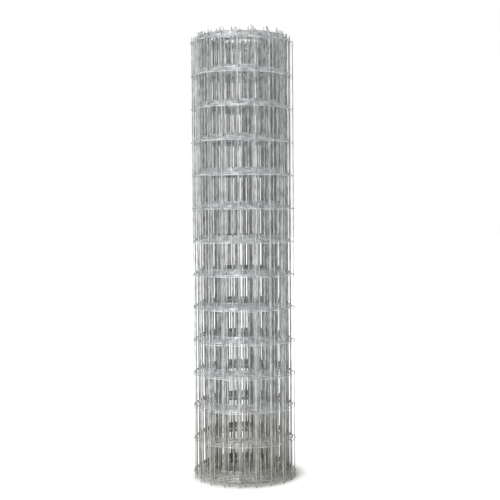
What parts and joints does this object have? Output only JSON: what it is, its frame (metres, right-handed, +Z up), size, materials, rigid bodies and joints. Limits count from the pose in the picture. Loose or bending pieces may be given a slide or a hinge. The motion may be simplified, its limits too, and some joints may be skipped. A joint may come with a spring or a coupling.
{
  "type": "roll of welded wire mesh fencing",
  "caption": "Roll of galvanised welded wire mesh fencing standing on one end, wound in close turns round an open bore, with the cut wire tails standing proud at both ends.",
  "frame": {"origin": "middle of the standing end, on the plane that the outermost turn's wire tails rest on", "axes": "+Z up the roll's axis, X and Y across it with nothing to tell them apart"},
  "size_m": [0.3216, 0.3216, 1.364],
  "materials": {
    "galvanised_wire": "galvanised zinc, dull to satin, light grey with darker oxide patches"
  },
  "bodies": {
    "root": {"mesh_roll": "galvanised_wire"}
  },
  "joints": []
}
